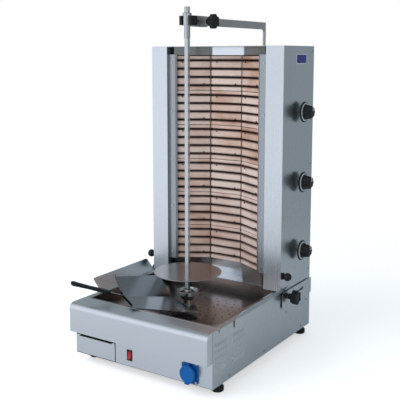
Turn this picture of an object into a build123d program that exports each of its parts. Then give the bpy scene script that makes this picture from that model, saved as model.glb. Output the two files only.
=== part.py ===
from build123d import *
import math
import os

# Vertical broiler for a turning meat skewer, in millimetres.
# The working frame below has x = 0 in the middle, y = 0 at the lower front panel and z = 0 under the base.
# PLACE carries it to the part's frame: z = 0 under the feet and y = 0 at the middle of the whole depth.

# ---- driving dimensions: base ----
BASE_WIDTH = 500.0
BASE_DEPTH = 626.0
RIM_HEIGHT = 166.0
SHEET = 1.5
FOOT_HEIGHT = 29.0
FOOT_RADIUS = 18.5
FASCIA_REACH = 28.0
FASCIA_BOTTOM = 77.0
FASCIA_ROLL = 17.0
RIM_BACK_EDGE = 41.0
TRAY_FLOOR = 138.0
TRAY_BACK = 496.0
TRAY_HALF = 228.0
GUARD_FRONT = 117.0
GUARD_BACK = 405.0
GUARD_RISE = 37.0
GUARD_SPREAD = 33.0
EAR_FRONT = 412.0
EAR_BOTTOM = 119.0
EAR_STEP = 4.5
SHELF_TOP = 118.0
DRAWER_RIGHT = -97.0
DRAWER_DEPTH = 300.0
DRAWER_TOP = 60.0
PULL_REACH = 9.0

# ---- driving dimensions: fittings on the base ----
SWITCH_X = -40.0
SWITCH_Z = 36.0
SOCKET_X = 177.0
SOCKET_Z = 38.0
GLAND_X = -180.0
GLAND_Z = 60.0
GLAND_THREAD = 10.0
LOUVRE_COLUMNS = ((13.0, 72.0), (108.0, 171.0))
LOUVRE_ROWS = 5
LOUVRE_FIRST = 44.0
LOUVRE_PITCH = 19.0
DRAIN_HOLE = 3.1
DRAIN_RINGS = ((72, 16), (98, 22), (124, 28), (150, 32), (176, 36))

FOOT_X = 228.0
FOOT_ROWS = (62.0, 598.0)
ROCKER_AXIS_Y = 3.0
TRUNNION = 1.6
LID_HINGE_Y = -8.0
LID_HINGE_Z = 68.0
GLAND_BORE = 6.5
STEM_RADIUS = 12.0

# ---- driving dimensions: tower ----
TOWER_FRONT = 405.0
TOWER_BACK = 623.0
TOWER_BOTTOM = 171.0
TOWER_TOP = 947.0
POST_WIDTH = 62.0
TAB_BOTTOM = 124.0
TOWER_TRAVEL = 105.0
CLAMP_Y = 455.0
CLAMP_Z = 145.0
BRICK_WIDTH = 120.0
BRICK_ROWS = 6
BRICK_BOTTOM = 222.0
BRICK_TOP = 917.0
BRICK_DEPTH = 28.0
FACET_ANGLE = 30.0
FACET_FRONT = 480.0
BRICK_JOINT = 2.2
GROOVES = 4
GROOVE_HEIGHT = 7.6
GROOVE_DEPTH = 12.0
GROOVE_FIRST = 16.1
GROOVE_PITCH = 27.9
COIL_RADIUS = 2.8
COIL_SEAT = 8.6
PIN_RADIUS = 2.3
PIN_REACH = 2.2
GRIP_FLUTES = 8
KNOB_Y = 523.0
KNOB_HEIGHTS = {"lower": 285.0, "middle": 511.0, "upper": 738.0}

# ---- driving dimensions: skewer and arm ----
SKEWER_Y = 249.0
SKEWER_TOP = 1063.0
SKEWER_FOOT = 152.0
BAR_SIDE = 12.0
SLEEVE_RADIUS = 9.5
COLLAR_RADIUS = 12.5
COLLAR_BOTTOM = 1008.0
COLLAR_TOP = 1036.0
PLATE_RADIUS = 107.5
PLATE_HEIGHT = 237.0
HUB_RADIUS = 34.5
HUB_TOP = 177.0
ARM_TOP = 1034.0
ARM_HEIGHT = 25.0
ARM_THICKNESS = 7.0
ARM_FRONT = 306.0
LEG_BACK = 747.0
LEG_DEPTH = 10.0

ARM_KNOB_Y = 333.0
ARM_KNOB_X = 31.0
CLAMP_X = 269.0
STAR_LOBES = 6
STAR_DEPTH = 20.0

SCOOP_PLACE = (-140.0, 93.0, 172.0)
SCOOP_TURN = (8.4, 7.3, 54.5)
SCOOP_FOLD = 8.4
SCOOP_LENGTH = 162.0
SCOOP_BACK = 114.0
SCOOP_TIPS = {-1: (199.0, 168.0), 1: (158.0, 128.0)}
SCOOP_WALL = 9.0
SCOOP_HANDLE = 173.0
SCOOP_HANDLE_RISE = 13.5

# ---- fits ----
GAP = 0.3
RUNNING = 0.05

HALF = BASE_WIDTH / 2
DEPTH_CENTRE = 347.5
PLACE = Pos(0, -DEPTH_CENTRE, FOOT_HEIGHT)


# ---- shape helpers ----
def block(x0, x1, y0, y1, z0, z1):
    """A box between two corners."""
    centre = Pos((x0 + x1) / 2, (y0 + y1) / 2, (z0 + z1) / 2)
    return centre * Box(x1 - x0, y1 - y0, z1 - z0)


def round_x(x0, x1, y, z, radius):
    """A cylinder along X."""
    return Pos((x0 + x1) / 2, y, z) * Rot(0, 90, 0) * Cylinder(radius, x1 - x0)


def round_y(x, y0, y1, z, radius):
    """A cylinder along Y."""
    return Pos(x, (y0 + y1) / 2, z) * Rot(90, 0, 0) * Cylinder(radius, y1 - y0)


def round_z(x, y, z0, z1, radius):
    """A cylinder along Z."""
    return Pos(x, y, (z0 + z1) / 2) * Cylinder(radius, z1 - z0)


def prism_x(points, x0, x1):
    """A closed outline in Y and Z, drawn out along X."""
    face = Plane.YZ * make_face(Polyline(*points, close=True))
    return Pos(x0, 0, 0) * extrude(face, amount=x1 - x0)


def prism_z(points, z0, z1):
    """A closed outline in X and Y, drawn out along Z."""
    face = make_face(Polyline(*points, close=True))
    return Pos(0, 0, z0) * extrude(face, amount=z1 - z0)


def turned(points, x=0.0, y=0.0):
    """A closed outline of radius and height, turned about a vertical axis."""
    face = Plane.XZ * make_face(Polyline(*points, close=True))
    return Pos(x, y, 0) * revolve(face, Axis.Z)


def turned_x(points, y, z, side=1):
    """A closed outline of radius and distance, turned about an axis along X that points to the side."""
    solid = revolve(Plane.XZ * make_face(Polyline(*points, close=True)), Axis.Z)
    return Pos(0, y, z) * Rot(0, 90 * side, 0) * solid


def mirrored(shape):
    """The same shape on the other side of the machine."""
    return mirror(shape, Plane.YZ)


def group(*shapes):
    """Several separate solids in one node."""
    solids = []
    for shape in shapes:
        solids.extend(shape.solids())
    return Compound(solids)


# ---- base casing ----
def front_fascia():
    outer = extrude(Plane.YZ * fascia_outline(0.0), amount=BASE_WIDTH)
    inner = extrude(Plane.YZ * fascia_outline(SHEET), amount=BASE_WIDTH - 2 * SHEET)
    shell = Pos(-HALF, 0, 0) * outer - Pos(-HALF + SHEET, 0, 0) * inner
    behind = block(-HALF - 1, HALF + 1, 0, RIM_BACK_EDGE - SHEET, 0, RIM_HEIGHT - SHEET)
    below = block(-HALF - 1, HALF + 1, 0, RIM_BACK_EDGE + 1, 0, RIM_HEIGHT - 14)
    shell = shell - behind - below
    for side in (-1, 1):
        x0, x1 = sorted((side * (HALF - SHEET - GAP), side * (HALF + 1)))
        shell -= block(x0, x1, 0, RIM_BACK_EDGE + 1, 0, RIM_HEIGHT - SHEET)
    return shell


def fascia_outline(inset):
    """The rolled front edge in section: upright face, round top corner and flat rim."""
    front = -FASCIA_REACH + inset
    low = FASCIA_BOTTOM + inset
    top = RIM_HEIGHT - inset
    back = RIM_BACK_EDGE - inset
    roll = FASCIA_ROLL - inset
    upright = Line((front, low), (front, top - roll))
    corner = CenterArc((front + roll, top - roll), roll, 90, 90)
    rim = Polyline((front + roll, top), (back, top), (back, low), (front, low))
    return make_face(upright + corner + rim)


def front_lower_panel():
    panel = block(DRAWER_RIGHT + 3.5, HALF - SHEET, 0, SHEET, 2, FASCIA_BOTTOM + 8)
    panel -= block(SWITCH_X - 6, SWITCH_X + 6, -1, 3, SWITCH_Z - 13.5, SWITCH_Z + 13.5)
    return panel - round_y(SOCKET_X, -1, 3, SOCKET_Z - 2, 21)


def side_outline():
    """The right side panel with its relief notches, seen from the side."""
    return [
        (0, 0),
        (BASE_DEPTH, 0),
        (BASE_DEPTH, EAR_BOTTOM),
        (EAR_FRONT, EAR_BOTTOM),
        (EAR_FRONT, RIM_HEIGHT - 46),
        (EAR_FRONT - 5, RIM_HEIGHT - 46),
        (EAR_FRONT - 7, RIM_HEIGHT),
        (GUARD_FRONT + 3, RIM_HEIGHT),
        (GUARD_FRONT + 2, RIM_HEIGHT - 21),
        (GUARD_FRONT - 4, RIM_HEIGHT - 21),
        (GUARD_FRONT - 5, RIM_HEIGHT - SHEET),
        (RIM_BACK_EDGE - 4, RIM_HEIGHT - SHEET - GAP),
        (RIM_BACK_EDGE - 5, RIM_HEIGHT - 12),
        (RIM_BACK_EDGE - 9, RIM_HEIGHT - 12),
        (RIM_BACK_EDGE - 10, RIM_HEIGHT - SHEET - GAP),
        (SHEET, RIM_HEIGHT - SHEET - GAP),
        (SHEET, FASCIA_BOTTOM),
        (0, FASCIA_BOTTOM),
    ]


def louvre(y0, y1, z):
    """One pressed louvre, open at its lower edge."""
    reach, height, wall = 2.6, 9.0, 0.8
    hood = Plane.XZ * make_face(Polyline((0, 0), (reach, 0), (0, height), close=True))
    bite = Plane.XZ * make_face(
        Polyline((-wall, -1), (reach - wall, -1), (reach - wall, 0.4), (-wall, height - 2.4), close=True)
    )
    hood = Pos(HALF, y1, z) * extrude(hood, amount=y1 - y0)
    bite = Pos(HALF, y1 - wall, z) * extrude(bite, amount=y1 - y0 - 2 * wall)
    return hood, bite


def right_side_panel():
    panel = prism_x(side_outline(), HALF - SHEET, HALF)
    for y0, y1 in LOUVRE_COLUMNS:
        for row in range(LOUVRE_ROWS):
            hood, bite = louvre(y0, y1, LOUVRE_FIRST + row * LOUVRE_PITCH)
            slot = block(HALF - 3, HALF + 0.1, y0 + 1, y1 - 1, *slot_heights(row))
            panel = panel - slot + (hood - bite)
    guard = prism_guard()
    ear = right_ear()
    return panel + guard + ear


def slot_heights(row):
    z = LOUVRE_FIRST + row * LOUVRE_PITCH
    return z, z + 6


def prism_guard():
    """The upper edge of the side panel, bent outwards so that fat stays on the tray."""
    lean = math.atan2(GUARD_SPREAD, GUARD_RISE)
    slant = math.hypot(GUARD_SPREAD, GUARD_RISE)
    centre_y = (GUARD_FRONT + GUARD_BACK) / 2
    flat = Rectangle(GUARD_BACK - GUARD_FRONT, slant)
    top_corners = flat.vertices().group_by(Axis.Y)[-1]
    flat = fillet(top_corners, 8)
    sheet = extrude(flat, amount=SHEET)
    upright = Rot(0, 0, 90) * (Rot(90, 0, 0) * (Pos(0, slant / 2, 0) * sheet))
    leaning = Rot(0, math.degrees(lean), 0) * upright
    return Pos(HALF - SHEET, centre_y, RIM_HEIGHT - 1.2) * leaning


def right_ear():
    """The joggled rear part of the side panel, with the clamp slot."""
    inner = HALF + EAR_STEP - SHEET
    outline = [
        (EAR_FRONT, EAR_BOTTOM - 5),
        (BASE_DEPTH, EAR_BOTTOM - 5),
        (BASE_DEPTH, RIM_HEIGHT),
        (EAR_FRONT + 8, RIM_HEIGHT),
        (EAR_FRONT, RIM_HEIGHT - 8),
    ]
    ear = prism_x(outline, inner, inner + SHEET)
    step = block(HALF - SHEET, inner + SHEET, EAR_FRONT, BASE_DEPTH, EAR_BOTTOM - 5, EAR_BOTTOM - 3.5)
    slot = block(inner - 1, inner + 3, CLAMP_Y, CLAMP_Y + TOWER_TRAVEL, CLAMP_Z - 4.5, CLAMP_Z + 4.5)
    for y in (CLAMP_Y, CLAMP_Y + TOWER_TRAVEL):
        slot += round_x(inner - 1, inner + 3, y, CLAMP_Z, 4.5)
    return ear + step - slot


def base_floor():
    floor = block(-HALF + SHEET, HALF - SHEET, SHEET, BASE_DEPTH - SHEET, 0, SHEET)
    for x in (-60, 60, 150):
        for y in range(420, 581, 32):
            floor -= block(x - 25, x + 25, y - 3, y + 3, -1, 3)
    return floor


def rear_base_panel():
    panel = block(-HALF + SHEET, HALF - SHEET, BASE_DEPTH - SHEET, BASE_DEPTH, 0, SHELF_TOP)
    return panel - round_y(GLAND_X, BASE_DEPTH - 5, BASE_DEPTH + 5, GLAND_Z, GLAND_THREAD)


def rear_shelf():
    """The deck behind the tray, over which the tower slides, with the riser up to the tray's edge."""
    front, side = TRAY_BACK + 4 + GAP, HALF - 14 - GAP
    shelf = block(-side, side, front, BASE_DEPTH - SHEET - GAP, SHELF_TOP - SHEET, SHELF_TOP)
    riser = block(-side, side, front, front + SHEET, SHELF_TOP, RIM_HEIGHT - SHEET)
    return shelf + riser


def opening(inset):
    """The tray opening: nearly square at the front, with two large round corners at the back."""
    length = TRAY_BACK - RIM_BACK_EDGE - 2 * inset
    flat = Pos(0, (RIM_BACK_EDGE + TRAY_BACK) / 2) * Rectangle(2 * (TRAY_HALF - inset), length)
    flat = fillet(flat.vertices().group_by(Axis.Y)[0], 12 - inset)
    return fillet(flat.vertices().group_by(Axis.Y)[-1], 60 - inset)


def tray_surround():
    """The flat rim round the tray, with its lip at the back."""
    front = RIM_BACK_EDGE + GAP
    side = HALF - SHEET
    outline = [
        (-side, front),
        (side, front),
        (side, EAR_FRONT - 10),
        (side - 12, EAR_FRONT - 2),
        (side - 12, TRAY_BACK + 4),
        (-side + 12, TRAY_BACK + 4),
        (-side + 12, EAR_FRONT - 2),
        (-side, EAR_FRONT - 10),
    ]
    rim = prism_z(outline, RIM_HEIGHT - SHEET, RIM_HEIGHT)
    cut = Pos(0, 0, RIM_HEIGHT - 5) * extrude(opening(2.0), amount=10)
    return rim - cut


def drip_tray():
    """The dished tray with rings of drain holes round the drive hub."""
    depth = RIM_HEIGHT - TRAY_FLOOR
    body = Pos(0, 0, TRAY_FLOOR - SHEET) * extrude(opening(2.5), amount=depth + SHEET)
    body -= Pos(0, 0, TRAY_FLOOR) * extrude(opening(2.5 + SHEET), amount=depth + 5)
    lip = Pos(0, 0, RIM_HEIGHT) * extrude(opening(-2.5), amount=1.2)
    lip -= Pos(0, 0, RIM_HEIGHT - 1) * extrude(opening(2.5 + SHEET), amount=5)
    tray = body + lip
    tray += round_z(0, SKEWER_Y, TRAY_FLOOR - SHEET, TRAY_FLOOR + 10, 19.5)
    tray -= round_z(0, SKEWER_Y, TRAY_FLOOR - 5, TRAY_FLOOR + 20, 18)
    for radius, count in DRAIN_RINGS:
        for step in range(count):
            angle = 2 * math.pi * step / count
            x = radius * math.cos(angle)
            y = SKEWER_Y + radius * math.sin(angle)
            tray -= round_z(x, y, TRAY_FLOOR - 4, TRAY_FLOOR + 3, DRAIN_HOLE)
    return tray


# ---- fittings on the base ----
def grease_drawer():
    """The front drawer: a folded box whose front has a pull lip and stops short of the fascia."""
    left, right, wall = -HALF + 6, DRAWER_RIGHT - 6, 1.2
    box = block(left, right, SHEET, DRAWER_DEPTH, 9, DRAWER_TOP)
    box -= block(left + wall, right - wall, SHEET + wall, DRAWER_DEPTH - wall, 9 + wall, 80)
    front = block(-HALF + SHEET + GAP, DRAWER_RIGHT, 0, SHEET, 3, DRAWER_TOP)
    pull = block(-HALF + 18, DRAWER_RIGHT - 8, -PULL_REACH, 0, DRAWER_TOP - SHEET, DRAWER_TOP)
    turn_down = block(-HALF + 18, DRAWER_RIGHT - 8, -PULL_REACH, SHEET - PULL_REACH, DRAWER_TOP - 6, DRAWER_TOP)
    return box + front + pull + turn_down


def drawer_guides():
    left = block(-HALF + SHEET, -HALF + 5.7, 10, DRAWER_DEPTH + 20, 3, 8.7)
    left += block(-HALF + 5.7, -HALF + 16, 10, DRAWER_DEPTH + 20, 7.2, 8.7)
    right = block(DRAWER_RIGHT - 5.7, DRAWER_RIGHT + 6, 10, DRAWER_DEPTH + 20, SHEET, 8.7)
    right += block(DRAWER_RIGHT - 16, DRAWER_RIGHT - 5.7, 10, DRAWER_DEPTH + 20, 7.2, 8.7)
    return group(left, right)


def foot_places():
    return [(x, y) for x in (-FOOT_X, FOOT_X) for y in FOOT_ROWS]


def rubber_feet():
    feet = []
    for x, y in foot_places():
        outline = [(4, 0), (4, -8), (9, -8), (9, -FOOT_HEIGHT), (FOOT_RADIUS - 3, -FOOT_HEIGHT)]
        outline += [(FOOT_RADIUS, -FOOT_HEIGHT + 3), (FOOT_RADIUS, -15), (FOOT_RADIUS - 4, -11), (FOOT_RADIUS - 5, 0)]
        feet.append(turned(outline, x, y))
    return group(*feet)


def foot_screws():
    screws = []
    for x, y in foot_places():
        outline = [(0, -11), (8.5, -11), (8.5, -8), (3.9, -8), (3.9, 0), (0, 0)]
        screws.append(turned(outline, x, y))
    return group(*screws)


def rocker_bezel():
    bezel = block(SWITCH_X - 9, SWITCH_X + 9, -2, 0, SWITCH_Z - 16.5, SWITCH_Z + 16.5)
    bezel += block(SWITCH_X - 6, SWITCH_X + 6, 0, 24, SWITCH_Z - 13.5, SWITCH_Z + 13.5)
    bezel -= block(SWITCH_X - 5.2, SWITCH_X + 5.2, -3, 14, SWITCH_Z - 12.7, SWITCH_Z + 12.7)
    return bezel - round_x(SWITCH_X - 7, SWITCH_X + 7, ROCKER_AXIS_Y, SWITCH_Z, TRUNNION + RUNNING)


def switch_rocker():
    """The red rocker, a shallow V in section, turning on two small trunnions in the bezel."""
    y = ROCKER_AXIS_Y
    outline = [
        (y + 3, SWITCH_Z - 3.4),
        (-1.8, SWITCH_Z - 11.4),
        (-4.5, SWITCH_Z - 10.6),
        (-1.6, SWITCH_Z),
        (-1.6, SWITCH_Z + 11.4),
        (-0.2, SWITCH_Z + 11.7),
        (y + 3, SWITCH_Z + 3.4),
    ]
    rocker = prism_x(outline, SWITCH_X - 4.9, SWITCH_X + 4.9)
    return rocker + round_x(SWITCH_X - 5.8, SWITCH_X + 5.8, ROCKER_AXIS_Y, SWITCH_Z, TRUNNION)


def socket_body():
    """The inlet socket: a flange with a round cup set into the panel."""
    flange = Pos(SOCKET_X, 0, SOCKET_Z) * Rot(90, 0, 0) * Box(54, 66, 4)
    flange = fillet(flange.edges().filter_by(Axis.Y), 6)
    flange = Pos(0, -2, 0) * flange
    cup = round_y(SOCKET_X, -12, 42, SOCKET_Z - 2, 20.5)
    cup -= round_y(SOCKET_X, -13, 38, SOCKET_Z - 2, 17.5)
    shape = flange - round_y(SOCKET_X, -13, 38, SOCKET_Z - 2, 17.5) + cup
    for x in (-22, 22):
        for z in (-28, 28):
            shape -= round_y(SOCKET_X + x, -5, 1, SOCKET_Z + z, 2.1)
    for x in (-8, 8):
        shape += block(SOCKET_X + x - 3, SOCKET_X + x + 3, -8, -2, LID_HINGE_Z - 3.5, LID_HINGE_Z + 3.5)
    return shape - round_x(SOCKET_X - 12, SOCKET_X + 12, LID_HINGE_Y, LID_HINGE_Z, 1.5)


def socket_pins():
    pins = []
    for angle in (90, 210, 330):
        x = SOCKET_X + 9 * math.cos(math.radians(angle))
        z = SOCKET_Z - 2 + 9 * math.sin(math.radians(angle))
        pins.append(round_y(x, 14, 38, z, 2.4))
    return group(*pins)


def socket_screws():
    screws = []
    for x in (-22, 22):
        for z in (-28, 28):
            screws.append(
                round_y(SOCKET_X + x, -4, -2, SOCKET_Z + z, 2.0) + round_y(SOCKET_X + x, -5.6, -4, SOCKET_Z + z, 3.8)
            )
    return group(*screws)


def lid_pin():
    return round_x(SOCKET_X - 11, SOCKET_X + 11, LID_HINGE_Y, LID_HINGE_Z, 1.45)


def socket_lid():
    """The round hinged lid, with a knuckle between the two ears and a lip to lift it by."""
    z = SOCKET_Z - 2
    disc = round_y(SOCKET_X, -19.5, -12.4, z, 25)
    disc -= round_y(SOCKET_X, -15, -12, z, 21.5)
    disc = fillet(disc.edges().group_by(Axis.Y)[0], 2)
    lip = block(SOCKET_X - 7, SOCKET_X + 7, -22, -13.5, z - 29, z - 21)
    arm = block(SOCKET_X - 4.5, SOCKET_X + 4.5, -14, LID_HINGE_Y, z + 22, LID_HINGE_Z - 1)
    arm += round_x(SOCKET_X - 4.5, SOCKET_X + 4.5, LID_HINGE_Y, LID_HINGE_Z, 3.2)
    shape = disc + lip + arm
    return shape - round_x(SOCKET_X - 5, SOCKET_X + 5, LID_HINGE_Y, LID_HINGE_Z, 1.45 + RUNNING)


def cable_gland():
    """The mains inlet gland in the rear panel."""
    back = BASE_DEPTH
    body = round_y(GLAND_X, back - 12, back, GLAND_Z, GLAND_THREAD - 0.1)
    nut = extrude(Plane.XZ * RegularPolygon(14, 6), amount=6)
    body += Pos(GLAND_X, back + 6, GLAND_Z) * nut
    body += round_y(GLAND_X, back + 6, back + 20, GLAND_Z, 11)
    return body - round_y(GLAND_X, back - 15, back + 25, GLAND_Z, GLAND_BORE)


def gland_nut():
    nut = extrude(Plane.XZ * RegularPolygon(14, 6), amount=5)
    nut = Pos(GLAND_X, BASE_DEPTH - SHEET, GLAND_Z) * nut
    return nut - round_y(GLAND_X, BASE_DEPTH - 12, BASE_DEPTH, GLAND_Z, GLAND_THREAD - 0.1)


def terminal_block():
    base = block(GLAND_X - 35, GLAND_X + 35, 560, 586, SHEET, 24)
    for step in range(5):
        x = GLAND_X - 27 + step * 13.5
        base -= round_z(x, 566, 12, 30, 2.6)
        base -= round_z(x, 580, 12, 30, 2.6)
    return base


def tower_rails():
    right = block(HALF - 14, HALF - SHEET, EAR_FRONT + 6, BASE_DEPTH - SHEET, TAB_BOTTOM - 8, TAB_BOTTOM - GAP)
    return group(right, mirrored(right))


def base_screws():
    screws = []
    for side in (-1, 1):
        for y, z in ((90, 12), (300, 12), (560, 12), (600, EAR_BOTTOM - 26), (450, EAR_BOTTOM - 26)):
            x0, x1 = sorted((side * HALF, side * (HALF + 1.8)))
            screws.append(round_x(x0, x1, y, z, 3.6))
    for x in (-200, 0, 200):
        screws.append(round_y(x, BASE_DEPTH, BASE_DEPTH + 1.8, 20, 3.6))
    return group(*screws)


def tray_screws():
    screws = []
    for x in (-150, -50, 50, 150):
        screws.append(round_z(x, TRAY_BACK - 1, RIM_HEIGHT + 1.2, RIM_HEIGHT + 2.8, 2.8))
    return group(*screws)


# ---- drive under the tray ----
def motor_bracket():
    """The bridge across the base that carries the gearbox, folded down at both ends."""
    bridge = block(-HALF + SHEET, HALF - SHEET, SKEWER_Y - 55, SKEWER_Y + 55, 98, 100)
    for side in (-1, 1):
        x0, x1 = sorted((side * (HALF - SHEET), side * (HALF - 3.5)))
        bridge += block(x0, x1, SKEWER_Y - 55, SKEWER_Y + 55, 78, 100)
    return bridge - round_z(0, SKEWER_Y, 90, 110, 17)


def gearbox():
    box = block(-42, 42, SKEWER_Y - 45, SKEWER_Y + 45, 46, 98)
    box = fillet(box.edges().filter_by(Axis.Z), 8)
    for x in (-30, 30):
        for y in (-33, 33):
            box += round_z(x, SKEWER_Y + y, 40, 46, 6)
    box -= round_z(0, SKEWER_Y, 60, 99, 17)
    return box - round_x(30, 50, SKEWER_Y, 66, 11)


def hub_bush():
    bush = turned([(STEM_RADIUS + RUNNING, 62), (17, 62), (17, 106), (STEM_RADIUS + RUNNING, 106)], 0, SKEWER_Y)
    return bush


def gear_motor():
    can = round_x(42, 122, SKEWER_Y, 66, 27)
    can = chamfer(can.edges().group_by(Axis.X)[-1], 3)
    for step in range(7):
        x = 52 + step * 9
        can -= round_x(x, x + 3, SKEWER_Y, 66, 40) - round_x(x - 1, x + 4, SKEWER_Y, 66, 25)
    return can + round_x(31, 42, SKEWER_Y, 66, 10.9)


def drive_hub():
    """The turning cup that seats the skewer's square foot."""
    outline = [
        (0, 64),
        (STEM_RADIUS, 64),
        (STEM_RADIUS, 152),
        (27, 154),
        (32, 164),
        (HUB_RADIUS, HUB_TOP - 2),
        (HUB_RADIUS, HUB_TOP),
        (31.5, HUB_TOP),
        (29.5, HUB_TOP - 9),
        (13, HUB_TOP - 9),
        (13, HUB_TOP - 2),
        (0, HUB_TOP - 2),
    ]
    hub = turned(outline, 0, SKEWER_Y)
    side = BAR_SIDE + 2 * GAP
    centre = (SKEWER_FOOT + HUB_TOP + 2) / 2 - GAP / 2
    return hub - Pos(0, SKEWER_Y, centre) * Box(side, side, HUB_TOP + 2 - SKEWER_FOOT + GAP)


# ---- skewer ----
def skewer_rod():
    """The square bar, round at the top, with the bearing collar and flange."""
    bar = Pos(0, SKEWER_Y, (SKEWER_FOOT + 968) / 2) * Box(BAR_SIDE, BAR_SIDE, 968 - SKEWER_FOOT)
    bar += round_z(0, SKEWER_Y, 968, SKEWER_TOP, SLEEVE_RADIUS - 1)
    bar += round_z(0, SKEWER_Y, 968, COLLAR_BOTTOM, SLEEVE_RADIUS)
    return chamfer(bar.edges().group_by(Axis.Z)[-1], 1)


def skewer_collar():
    inner = SLEEVE_RADIUS - 1
    outline = [
        (inner, COLLAR_BOTTOM),
        (COLLAR_RADIUS, COLLAR_BOTTOM),
        (COLLAR_RADIUS, COLLAR_TOP + 1),
        (COLLAR_RADIUS + 1.5, COLLAR_TOP + 1),
        (COLLAR_RADIUS + 1.5, COLLAR_TOP + 7),
        (COLLAR_RADIUS - 1, COLLAR_TOP + 9),
        (inner, COLLAR_TOP + 9),
    ]
    return turned(outline, 0, SKEWER_Y)


def meat_plate():
    """The disc that carries the meat, with its boss and set screw hole."""
    plate = round_z(0, SKEWER_Y, PLATE_HEIGHT - 1, PLATE_HEIGHT + 1, PLATE_RADIUS)
    plate = fillet(plate.edges(), 0.9)
    plate += round_z(0, SKEWER_Y, PLATE_HEIGHT - 16, PLATE_HEIGHT, 13)
    plate -= round_x(0, 20, SKEWER_Y, PLATE_HEIGHT - 9, 2.5)
    return plate - Pos(0, SKEWER_Y, PLATE_HEIGHT) * Box(BAR_SIDE, BAR_SIDE, 60)


def plate_screw():
    head = round_x(BAR_SIDE / 2, 18, SKEWER_Y, PLATE_HEIGHT - 9, 2.5)
    return head + round_x(13, 18, SKEWER_Y, PLATE_HEIGHT - 9, 4.2)


# ---- arm and upper bearing ----
def support_arm():
    """The flat bar above the skewer and its leg down behind the tower."""
    low = ARM_TOP - ARM_HEIGHT
    inner = LEG_BACK - LEG_DEPTH
    start = 40.0
    bend = 8.0
    outline = Polyline(
        (inner, start), (LEG_BACK, start), (LEG_BACK, ARM_TOP), (ARM_FRONT, ARM_TOP), (ARM_FRONT, low), (inner - bend, low)
    )
    corner = Polyline((inner - bend, low), (inner - 2, low - 2), (inner, low - bend), (inner, start))
    face = Plane.YZ * make_face(outline + corner)
    return Pos(-ARM_THICKNESS / 2, 0, 0) * extrude(face, amount=ARM_THICKNESS)


def arm_bracket():
    """Two folded plates that hold the leg clear of the base, one each side of it."""
    half = ARM_THICKNESS / 2
    cheek = block(half, half + 3, BASE_DEPTH, LEG_BACK, 44, 104)
    flange = block(half + 3, 34, BASE_DEPTH, BASE_DEPTH + 3, 44, 104)
    right = fillet((cheek + flange).edges().filter_by(Axis.X).group_by(Axis.Y)[-1], 10)
    return group(right, mirrored(right))


def bracket_bolts():
    bolts = []
    for z in (58, 90):
        head = half_bolt_head(ARM_THICKNESS / 2 + 3, z)
        bolts.append(head)
        bolts.append(mirrored(head))
        for x in (-24, 24):
            bolts.append(round_y(x, BASE_DEPTH + 3, BASE_DEPTH + 8, z, 5.5))
    return group(*bolts)


def half_bolt_head(x, z):
    return round_x(x, x + 5, LEG_BACK - LEG_DEPTH / 2, z, 5.5)


def bearing_block():
    """The black upper bearing, open at the front so that the skewer can be lifted out."""
    half, front, back = 23.0, SKEWER_Y - COLLAR_RADIUS + 1.5, 272.0
    body = block(-half, half, front, back, COLLAR_BOTTOM, COLLAR_TOP)
    body = fillet(body.edges().filter_by(Axis.Z), 3)
    seat = COLLAR_RADIUS + RUNNING
    body -= round_z(0, SKEWER_Y, COLLAR_BOTTOM - 5, COLLAR_TOP + 5, seat)
    return body - block(-seat, seat, front - 5, SKEWER_Y, COLLAR_BOTTOM - 5, COLLAR_TOP + 5)


def arm_carriage():
    """The grey sleeve that slides on the arm and carries the bearing."""
    low = ARM_TOP - ARM_HEIGHT
    outer = ARM_THICKNESS / 2 + GAP + 5
    body = block(-outer, outer, 272, 350, low - 4, ARM_TOP + 4)
    inside = ARM_THICKNESS / 2 + GAP
    body -= block(-inside, inside, 275, 355, low - GAP, ARM_TOP + GAP)
    return body - round_x(0, 20, ARM_KNOB_Y, (low + ARM_TOP) / 2, 4.3)


def carriage_bolts():
    """The two cap screws that hold the bearing to the carriage, seen on its right cheek."""
    outer = ARM_THICKNESS / 2 + GAP + 5
    z = ARM_TOP - ARM_HEIGHT / 2
    return group(round_x(outer, outer + 4, 290, z, 5.5), round_x(-outer - 4, -outer, 290, z, 5.5))


def star_knob(x, y, z, stud, radius, side=1):
    """A lobed clamping knob on a stud that points inwards."""
    head = Circle(radius * 0.78)
    for lobe in PolarLocations(radius * 0.72, STAR_LOBES):
        head += lobe * Circle(radius * 0.28)
    head = extrude(head, amount=STAR_DEPTH)
    hub = Pos(0, 0, -6) * Cylinder(radius * 0.42, 12)
    shape = head + hub + Pos(0, 0, -stud / 2) * Cylinder(4.0, stud)
    turn = Rot(0, 90, 0) if side > 0 else Rot(0, -90, 0)
    return Pos(x, y, z) * turn * shape


def arm_knob():
    z = ARM_TOP - ARM_HEIGHT / 2
    return star_knob(ARM_KNOB_X, ARM_KNOB_Y, z, ARM_KNOB_X - ARM_THICKNESS / 2 - GAP, 22.5)


def clamp_knob(side):
    return star_knob(side * CLAMP_X, CLAMP_Y, CLAMP_Z, CLAMP_X - HALF + 6, 23, side)


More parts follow.
